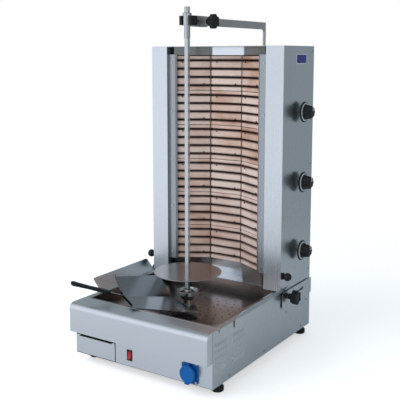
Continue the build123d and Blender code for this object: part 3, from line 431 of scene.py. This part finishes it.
scorched_board = mottled("scorched_board", (0.085, 0.055, 0.040), 0.95, grain=180.0, bump=0.5)
print(len(bpy.data.materials), "materials, with those of the frame")

# %% [markdown]
# ## Dress the carried-over parts
# Where the frame's own shape is right it stays, and only takes its material. The table says which
# finish each node gets; anything left out would keep a flat grey, so the last line checks for that. The
# knobs, lid, coils and badge are in it too, though new pieces stand for them further down.

# %% Give every frame node its finish
FINISHES = {
    "front_fascia": front_steel,
    "front_lower_panel": front_steel,
    "grease_drawer": front_steel,
    "right_side_panel": side_steel,
    "left_side_panel": side_steel,
    "right_tower_panel": side_steel,
    "left_tower_panel": front_steel,
    "tower_back_panel": side_steel,
    "tower_top_panel": top_steel,
    "tower_floor": side_steel,
    "base_floor": inner_steel,
    "rear_base_panel": side_steel,
    "tray_surround": top_steel,
    "drip_tray": tray_steel,
    "reflector_panels": mirror_steel,
    "retaining_strips": wall_steel,
    "insulation_board": scorched_board,
    "meat_plate": plate_steel,
    "skewer_rod": chrome_steel,
    "skewer_collar": chrome_steel,
    "drive_hub": chrome_steel,
    "scoop_blade": scoop_steel,
    "scoop_grip": black_plastic,
    "support_arm": grey_steel,
    "arm_carriage": grey_steel,
    "arm_bracket": side_steel,
    "bearing_block": black_plastic,
    "base_rails": inner_steel,
    "motor_bracket": side_steel,
    "gearbox": motor_paint,
    "gear_motor": motor_paint,
    "hub_bush": bronze,
    "socket_contacts": bronze,
    "socket_body": blue_plastic,
    "socket_lid": blue_plastic,
    "switch_bezel": black_plastic,
    "switch_rocker": red_plastic,
    "rubber_feet": black_rubber,
    "cable_gland": black_plastic,
    "terminal_block": black_plastic,
    "heat_regulators": black_plastic,
    "pull_knobs": black_plastic,
    "name_plate": navy_enamel,
    "arm_clamp_knob": black_plastic,
    "right_clamp_knob": black_plastic,
    "left_clamp_knob": black_plastic,
    "base_fasteners": screw_steel,
    "tower_fasteners": screw_steel,
    "carriage_bolts": screw_steel,
    "socket_fasteners": screw_steel,
    "coil_pins": heating_wire,
}
for zone in ("lower", "middle", "upper"):
    FINISHES[f"heater_bricks_{zone}"] = fired_clay
    FINISHES[f"heating_coils_{zone}"] = heating_wire
    FINISHES[f"control_knob_{zone}"] = black_plastic


def dress(node, finish):
    node.data.materials.clear()
    node.data.materials.append(finish)


for name, finish in FINISHES.items():
    dress(nodes[name], finish)
print("left undressed:", sorted(set(nodes) - set(FINISHES)))

# %% [markdown]
# ## Helpers for the new pieces
# Knobs and lid are shaped about the Z axis, where the numbers are easy to read, then a matrix puts each
# in its place, and the object itself stays at the origin. `turned` spins a profile like a lathe does.

# %% Turned shapes, soft edges and flutes
ROUND_STEPS = 96
MERGE = 1e-6


def turned(profile):
    """A closed turned shape from (radius, height) points in mm that start and end on the axis."""
    mesh = bmesh.new()
    points = [mesh.verts.new((radius / 1000, 0, height / 1000)) for radius, height in profile]
    edges = [mesh.edges.new(pair) for pair in zip(points, points[1:])]
    bmesh.ops.spin(
        mesh,
        geom=points + edges,
        cent=(0, 0, 0),
        axis=(0, 0, 1),
        angle=2 * math.pi,
        steps=ROUND_STEPS,
        use_merge=True,
    )
    bmesh.ops.remove_doubles(mesh, verts=mesh.verts[:], dist=MERGE)
    bmesh.ops.recalc_face_normals(mesh, faces=mesh.faces[:])
    return mesh


def soften(mesh, edges, rounding, segments):
    """Round off the given edges."""
    bmesh.ops.bevel(
        mesh,
        geom=list(edges),
        offset=rounding,
        segments=segments,
        profile=0.5,
        affect="EDGES",
        material=-1,
    )


def flute(verts, count, depth, shape):
    """Draw points in towards the axis between evenly spaced ridges."""
    for vert in verts:
        angle = math.atan2(vert.co.y, vert.co.x)
        dip = (0.5 - 0.5 * math.cos(count * angle)) ** shape
        vert.co.xy *= 1 - depth * dip


print("round shapes have", ROUND_STEPS, "steps")

# %% Rods and blocks
ROD_SIDES = 48
BLOCK_SEGMENTS = 3


def add_rod(mesh, radius, low, high, finish_index=0, place=Matrix.Identity(4)):
    """A capped rod along the piece's own axis."""
    raised = Matrix.Translation((0, 0, (low + high) / 2))
    made = bmesh.ops.create_cone(
        mesh,
        cap_ends=True,
        segments=ROD_SIDES,
        radius1=radius,
        radius2=radius,
        depth=high - low,
        matrix=place @ raised,
    )
    for face in {face for vert in made["verts"] for face in vert.link_faces}:
        face.material_index = finish_index


def add_block(mesh, low, high, rounding, finish_index=0):
    """A block between two corners with softened edges."""
    low, high = Vector(low), Vector(high)
    shape = Matrix.Translation((low + high) / 2) @ Matrix.Diagonal((*(high - low), 1))
    made = bmesh.ops.create_cube(mesh, size=1.0, matrix=shape)
    edges = {edge for vert in made["verts"] for edge in vert.link_edges}
    for face in {face for vert in made["verts"] for face in vert.link_faces}:
        face.material_index = finish_index
    soften(mesh, edges, rounding, BLOCK_SEGMENTS)


print("rods have", ROD_SIDES, "sides")

# %% [markdown]
# `settle` colours a finished shape, puts it on its moving body and lets it stand for its frame node.

# %% Settle a piece in its place
SHARP = math.radians(32)


def settle(mesh, name, place, finishes, body, node):
    """Put a finished shape in its place, on its body, and let it stand for its frame node."""
    bmesh.ops.transform(mesh, matrix=place, verts=mesh.verts[:])
    data = bpy.data.meshes.new(name)
    mesh.to_mesh(data)
    mesh.free()
    data.shade_smooth()
    data.set_sharp_from_angle(angle=SHARP)
    for finish in finishes:
        data.materials.append(finish)
    piece = bpy.data.objects.new(name, data)
    bpy.context.scene.collection.objects.link(piece)
    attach(piece, body)
    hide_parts(node)
    print(name, len(data.polygons), "faces")


def sideways(centre, side=1):
    """A place whose own +Z points along +X, or along -X for the left side."""
    return Matrix.Translation(centre) @ Matrix.Rotation(side * math.pi / 2, 4, "Y")


def corners(node):
    """The low and high corner of a frame node, and the point between them."""
    low, high = (Vector(corner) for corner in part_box(node))
    return low, high, (low + high) / 2


print("edges sharper than", round(math.degrees(SHARP)), "degrees stay crisp")

# %% [markdown]
# ## Star knobs
# A star knob is a moulded disc with lobes to grip. A circle whose points are drawn in between the lobes
# gives the outline; extruding it makes the head, a bevel softens both rims and a shallow inset dishes
# the face. A round collar and the steel stud go behind it.

# %% The head of a star knob
LOBES = 6
LOBE_DEPTH = 0.20
LOBE_SHAPE = 1.6
HEAD_DEPTH = 0.020
RIM_ROUNDING = 0.0024
RIM_SEGMENTS = 4
FACE_MARGIN = 0.16
DISH = 0.0012


def star_head(radius):
    mesh = bmesh.new()
    bmesh.ops.create_circle(mesh, cap_ends=True, radius=radius, segments=ROUND_STEPS)
    flute(mesh.verts, LOBES, LOBE_DEPTH, LOBE_SHAPE)
    grown = bmesh.ops.extrude_face_region(mesh, geom=mesh.faces[:])
    top = [item for item in grown["geom"] if isinstance(item, bmesh.types.BMVert)]
    bmesh.ops.translate(mesh, verts=top, vec=(0, 0, HEAD_DEPTH))
    rims = [edge for edge in mesh.edges if abs(edge.verts[0].co.z - edge.verts[1].co.z) < MERGE]
    soften(mesh, rims, RIM_ROUNDING, RIM_SEGMENTS)
    face = max(mesh.faces, key=lambda face: face.calc_center_median().z)
    bmesh.ops.inset_region(mesh, faces=[face], thickness=radius * FACE_MARGIN, depth=0)
    bmesh.ops.inset_region(mesh, faces=[face], thickness=DISH, depth=-DISH)
    bmesh.ops.recalc_face_normals(mesh, faces=mesh.faces[:])
    return mesh


print(LOBES, "lobes to a knob")

# %% The three star knobs
COLLAR_LENGTH = 0.012
COLLAR_SHARE = 0.42
STUD_RADIUS = 0.004
BITE = 0.0002


def star_knob(node, body, side=1):
    low, high, centre = corners(node)
    radius = (high.z - low.z) / 2
    reach = high.x - low.x - HEAD_DEPTH
    foot = high.x - HEAD_DEPTH if side > 0 else low.x + HEAD_DEPTH
    mesh = star_head(radius)
    add_rod(mesh, radius * COLLAR_SHARE, -COLLAR_LENGTH, BITE)
    add_rod(mesh, STUD_RADIUS, -reach, -COLLAR_LENGTH + BITE, 1)
    place = sideways((foot, centre.y, centre.z), side)
    settle(mesh, f"{node}_moulded", place, [knob_plastic, screw_steel], body, node)


star_knob("arm_clamp_knob", "arm_knob")
star_knob("right_clamp_knob", "right_clamp")
star_knob("left_clamp_knob", "left_clamp", -1)

# %% [markdown]
# ## Control knobs
# Each knob is a turned skirt with a pale printed ring and a tall grip. The grip's flutes come from
# drawing its points in towards the axis between eight ridges. A small raised bar on its end is the mark.

# %% Sizes of a control knob
FLUTES = 8
FLUTE_DEPTH = 0.15
FLUTE_SHAPE = 0.8
GRIP_FOOT = 0.0245
SKIRT = [
    (0, 14.0), (32.0, 14.0), (33.0, 14.8), (33.0, 17.0), (31.8, 18.6), (30.4, 19.2), (28.8, 19.5),
    (25.4, 20.8), (25.0, 21.0), (23.2, 21.6), (22.6, 24.0), (22.4, 25.5), (22.0, 29.0), (21.6, 33.0),
    (21.0, 37.0), (20.2, 41.0), (18.8, 44.2), (16.8, 45.8), (13.6, 46.4), (0, 46.4),
]
RING_RADII = (0.0252, 0.0290)
RING_ABOVE = 0.0185
MARK = ((-0.018, -0.0014, 0.0458), (-0.004, 0.0014, 0.0478))
MARK_ROUNDING = 0.0006
SPINDLE_RADIUS = 0.003
SPINDLE_END = 0.0142
print("knob profile has", len(SKIRT), "points")


# %% The three control knobs
def control_knob(zone):
    node = f"control_knob_{zone}"
    low, _, centre = corners(node)
    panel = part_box("right_tower_panel")[1][0]
    mesh = turned(SKIRT)
    grip = [vert for vert in mesh.verts if vert.co.z > GRIP_FOOT]
    flute(grip, FLUTES, FLUTE_DEPTH, FLUTE_SHAPE)
    for face in mesh.faces:
        spot = face.calc_center_median()
        if RING_RADII[0] < spot.xy.length < RING_RADII[1] and spot.z > RING_ABOVE:
            face.material_index = 1
    add_block(mesh, *MARK, MARK_ROUNDING, 1)
    add_rod(mesh, SPINDLE_RADIUS, low.x - panel, SPINDLE_END, 2)
    place = sideways((panel, centre.y, centre.z))
    finishes = [knob_plastic, white_print, screw_steel]
    settle(mesh, f"{node}_moulded", place, finishes, f"knob_{zone}", node)


for zone in ("lower", "middle", "upper"):
    control_knob(zone)

# %% [markdown]
# ## Socket lid
# The lid is a shallow moulded cap with a raised rim, a lip at the bottom to lift it by and a knuckle at
# the top that turns on the hinge pin. The cap is turned; the lip and arm are softened blocks.

# %% Socket lid
CAP = [
    (0, 4.6), (21.5, 4.6), (21.5, 0), (24.5, 0), (25.0, 0.6), (25.0, 5.0), (24.4, 6.4), (23.2, 7.1),
    (21.6, 7.1), (20.9, 6.5), (20.2, 6.3), (0, 6.3),
]
HINGE_TO_CENTRE = 0.032
KNUCKLE_RADIUS = 0.0032
KNUCKLE_HALF = 0.0045
KNUCKLE_BEHIND = 0.0044
LIP_FRONT = 0.0096
LIP = ((-0.007, -0.029, 0.0012), (0.007, -0.0215, LIP_FRONT))
LIP_ROUNDING = 0.0014
ARM = ((-KNUCKLE_HALF, 0.0225, -0.0036), (KNUCKLE_HALF, HINGE_TO_CENTRE - 0.0012, 0.0016))
ARM_ROUNDING = 0.0006


def socket_lid():
    low, high, centre = corners("socket_lid")
    mesh = turned(CAP)
    add_block(mesh, *LIP, LIP_ROUNDING)
    add_block(mesh, *ARM, ARM_ROUNDING)
    across = Matrix.Rotation(math.pi / 2, 4, "Y")
    knuckle = Matrix.Translation((0, HINGE_TO_CENTRE, -KNUCKLE_BEHIND)) @ across
    add_rod(mesh, KNUCKLE_RADIUS, -KNUCKLE_HALF, KNUCKLE_HALF, 0, knuckle)
    hinge = high.z - KNUCKLE_RADIUS
    spot = (centre.x, low.y + LIP_FRONT, hinge - HINGE_TO_CENTRE)
    place = Matrix.Translation(spot) @ Matrix.Rotation(math.pi / 2, 4, "X")
    settle(mesh, "socket_lid_moulded", place, [blue_plastic], "lid", "socket_lid")


socket_lid()

# %% [markdown]
# ## Heating coils
# Each groove holds a wire wound like a spring. One ring of wire, spun about the groove while it moves
# along it, makes a whole spring; that spring is then copied to every groove of a zone.

# %% One wound coil
COIL_RADIUS = 0.0023
WIRE_RADIUS = 0.0005
COIL_LENGTH = 0.112
COIL_TURNS = 44
TURN_STEPS = 8
WIRE_SIDES = 5


def one_coil():
    mesh = bmesh.new()
    steps = COIL_TURNS * TURN_STEPS
    start = Matrix.Translation((-COIL_LENGTH / 2, COIL_RADIUS, 0))
    bmesh.ops.create_circle(mesh, cap_ends=False, radius=WIRE_RADIUS, segments=WIRE_SIDES, matrix=start)
    bmesh.ops.spin(
        mesh,
        geom=mesh.verts[:] + mesh.edges[:],
        cent=(-COIL_LENGTH / 2, 0, 0),
        axis=(1, 0, 0),
        dvec=(COIL_LENGTH / steps, 0, 0),
        angle=2 * math.pi * COIL_TURNS,
        steps=steps,
    )
    bmesh.ops.holes_fill(mesh, edges=[edge for edge in mesh.edges if edge.is_boundary], sides=WIRE_SIDES)
    bmesh.ops.recalc_face_normals(mesh, faces=mesh.faces[:])
    data = bpy.data.meshes.new("one_coil")
    mesh.to_mesh(data)
    mesh.free()
    return data


spring = one_coil()
print("one coil has", len(spring.polygons), "faces")

# %% Coils for the three zones
COIL_SEAT = 0.0086
FACET_ANGLE = math.radians(30)
FACET_FRONT = 0.1325


def facet_places():
    """The fronts of the three facets: X across the facet, Y into the clay."""
    reach = BRICK_WIDTH / 2
    for side in (-1, 0, 1):
        x = side * (reach + reach * math.cos(FACET_ANGLE))
        y = FACET_FRONT - abs(side) * reach * math.sin(FACET_ANGLE)
        yield Matrix.Translation((x, y, 0)) @ Matrix.Rotation(-side * FACET_ANGLE, 4, "Z")


def zone_coils(zone, rows, spring):
    mesh = bmesh.new()
    for facet in facet_places():
        for row in rows:
            for groove in range(GROOVES):
                height = BRICK_FOOT + row * BRICK_HEIGHT + LOWEST_GROOVE + groove * GROOVE_PITCH
                first = len(mesh.verts)
                mesh.from_mesh(spring)
                mesh.verts.ensure_lookup_table()
                place = facet @ Matrix.Translation((0, COIL_SEAT, height))
                bmesh.ops.transform(mesh, matrix=place, verts=mesh.verts[first:])
    node = f"heating_coils_{zone}"
    settle(mesh, f"{node}_wound", Matrix.Identity(4), [heating_wire], "tower", node)


for index, zone in enumerate(("lower", "middle", "upper")):
    zone_coils(zone, (2 * index, 2 * index + 1), spring)
bpy.data.meshes.remove(spring)

# %% [markdown]
# ## Maker's badge
# A small enamelled plate with a raised pale border. It carries no name.

# %% Badge with a border
BORDER = 0.0035
BORDER_HEIGHT = 0.0003
PLATE_ROUNDING = 0.0005


def badge():
    low, high, _ = corners("name_plate")
    mesh = bmesh.new()
    add_block(mesh, low, high, PLATE_ROUNDING)
    face = max(mesh.faces, key=lambda face: face.calc_center_median().x + face.calc_area())
    bmesh.ops.inset_region(mesh, faces=[face], thickness=BORDER, depth=0)
    face.material_index = 1
    bmesh.ops.inset_region(mesh, faces=[face], thickness=BORDER_HEIGHT, depth=-BORDER_HEIGHT)
    enamels = [pale_enamel, navy_enamel]
    settle(mesh, "name_plate_enamelled", Matrix.Identity(4), enamels, "tower", "name_plate")


badge()

# %% [markdown]
# ## The floor
# A plain pale floor catches a soft contact shadow under the feet and fades out with distance, so it
# meets the background without a line. It glows for the camera's rays only, which lifts it towards white
# without lighting the machine. It is staging, not part of the machine.

# %% A pale floor
FLOOR_SIZE = 8.0
FADE_START = 0.8
FADE_END = 2.2
FLOOR_GLOW = 0.56
FLOOR_ROUGHNESS = 0.9
FLOOR_PATCHES = 3.0
FLOOR_TONES = ((0.90, 0.92, 0.95, 1), (0.94, 0.95, 0.98, 1))


def make_floor():
    mesh = bmesh.new()
    bmesh.ops.create_grid(mesh, x_segments=1, y_segments=1, size=FLOOR_SIZE / 2)
    data = bpy.data.meshes.new("studio_floor")
    mesh.to_mesh(data)
    mesh.free()
    floor = bpy.data.objects.new("studio_floor", data)
    bpy.context.scene.collection.objects.link(floor)
    paint = Finish("floor_paint", Roughness=FLOOR_ROUGHNESS, Emission_Strength=FLOOR_GLOW)
    seen = paint.add("ShaderNodeLightPath", out="Is Camera Ray")
    patch = paint.cloud(FLOOR_PATCHES)
    away = paint.add("ShaderNodeVectorMath", {0: paint.place()}, out="Value", operation="LENGTH")
    paint.use(
        Base_Color=paint.blend(patch, *FLOOR_TONES),
        Emission_Color=paint.blend(seen, (0, 0, 0, 1), (1, 1, 1, 1)),
        Alpha=paint.fade(away, FADE_START, FADE_END),
    )
    data.materials.append(paint.material)
    print(floor.name, "fades out by", FADE_END, "m")


make_floor()
